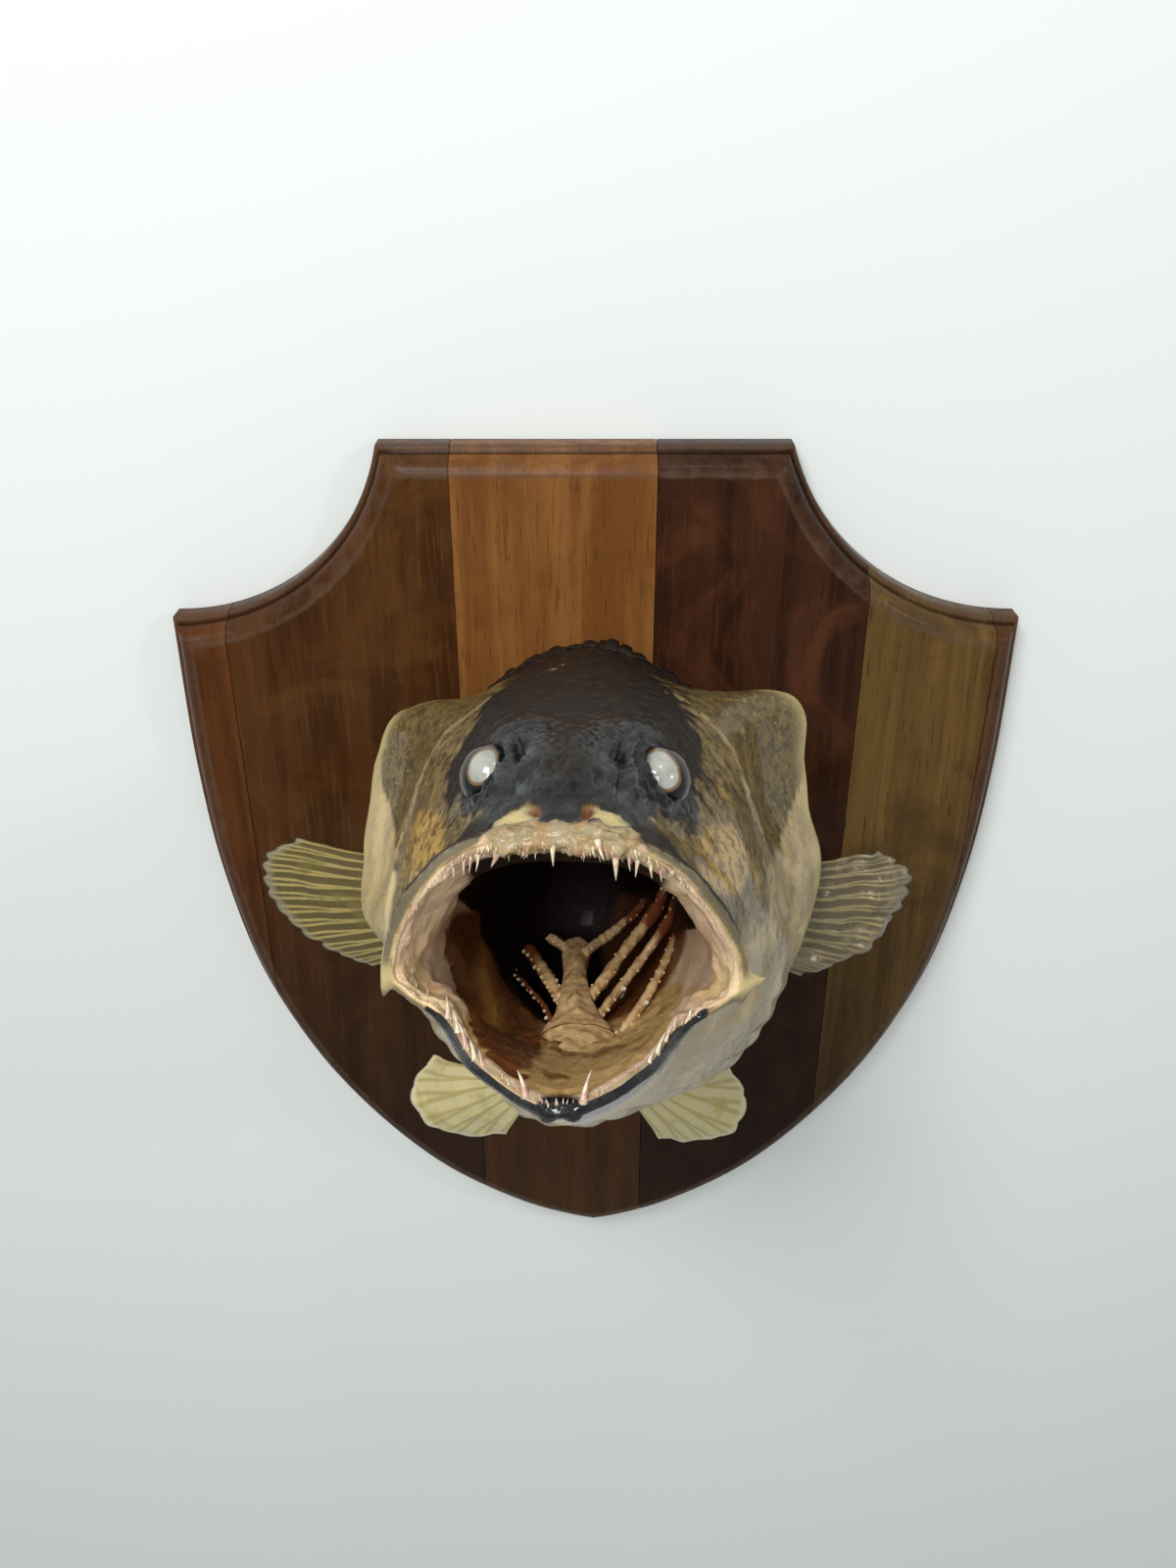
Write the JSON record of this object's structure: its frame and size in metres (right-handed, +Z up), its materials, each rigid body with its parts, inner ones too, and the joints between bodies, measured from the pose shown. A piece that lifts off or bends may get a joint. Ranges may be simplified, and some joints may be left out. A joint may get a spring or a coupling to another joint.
{
  "type": "mounted zander head on a shield board",
  "caption": "Taxidermy head and shoulders of a zander with gaping mouth and spread gill covers and fins, on a shield-shaped board of glued wooden staves.",
  "frame": {"origin": "middle of the board's back face, on the wall", "axes": "+Z up the board, +Y out of its back into the wall, the fish looks along -Y and up, its left side towards +X"},
  "size_m": [0.3266, 0.2579, 0.388],
  "materials": {
    "fish_skin": "dried and varnished fish skin: dark on the head, olive and gold on the cheeks, cream below",
    "mouth_lining": "dried, varnished lining of the mouth, dark red-brown at the back",
    "eye": "milky, glossy",
    "fin_skin": "thin dried skin between rays, varnished",
    "wood_red_brown": "semi-gloss varnish, straight grain",
    "wood_dark_brown": "semi-gloss varnish, straight grain",
    "wood_light_brown": "semi-gloss varnish, straight grain",
    "wood_purple_brown": "semi-gloss varnish, mottled grain",
    "wood_tan": "semi-gloss varnish, straight grain",
    "hanger_steel": "plain sheet steel"
  },
  "bodies": {
    "root": {"trunk": "fish_skin", "throat": "fish_skin", "lower_jaw": "fish_skin", "upper_jaw": "fish_skin", "cheek_left": "fish_skin", "cheek_right": "fish_skin", "gill_cover_left": "fish_skin", "gill_cover_right": "fish_skin", "skull": "fish_skin", "tongue_and_gill_arches": "mouth_lining", "eye_left": "eye", "eye_right": "eye", "pectoral_fin_left": "fin_skin", "pectoral_fin_right": "fin_skin", "pelvic_fin_left": "fin_skin", "pelvic_fin_right": "fin_skin", "stave_1": "wood_red_brown", "stave_2": "wood_dark_brown", "stave_3": "wood_light_brown", "stave_4": "wood_purple_brown", "stave_5": "wood_tan", "stave_6": "wood_red_brown", "hanger_strip": "hanger_steel", "hanger_nail_left": "hanger_steel", "hanger_nail_right": "hanger_steel"}
  },
  "joints": []
}
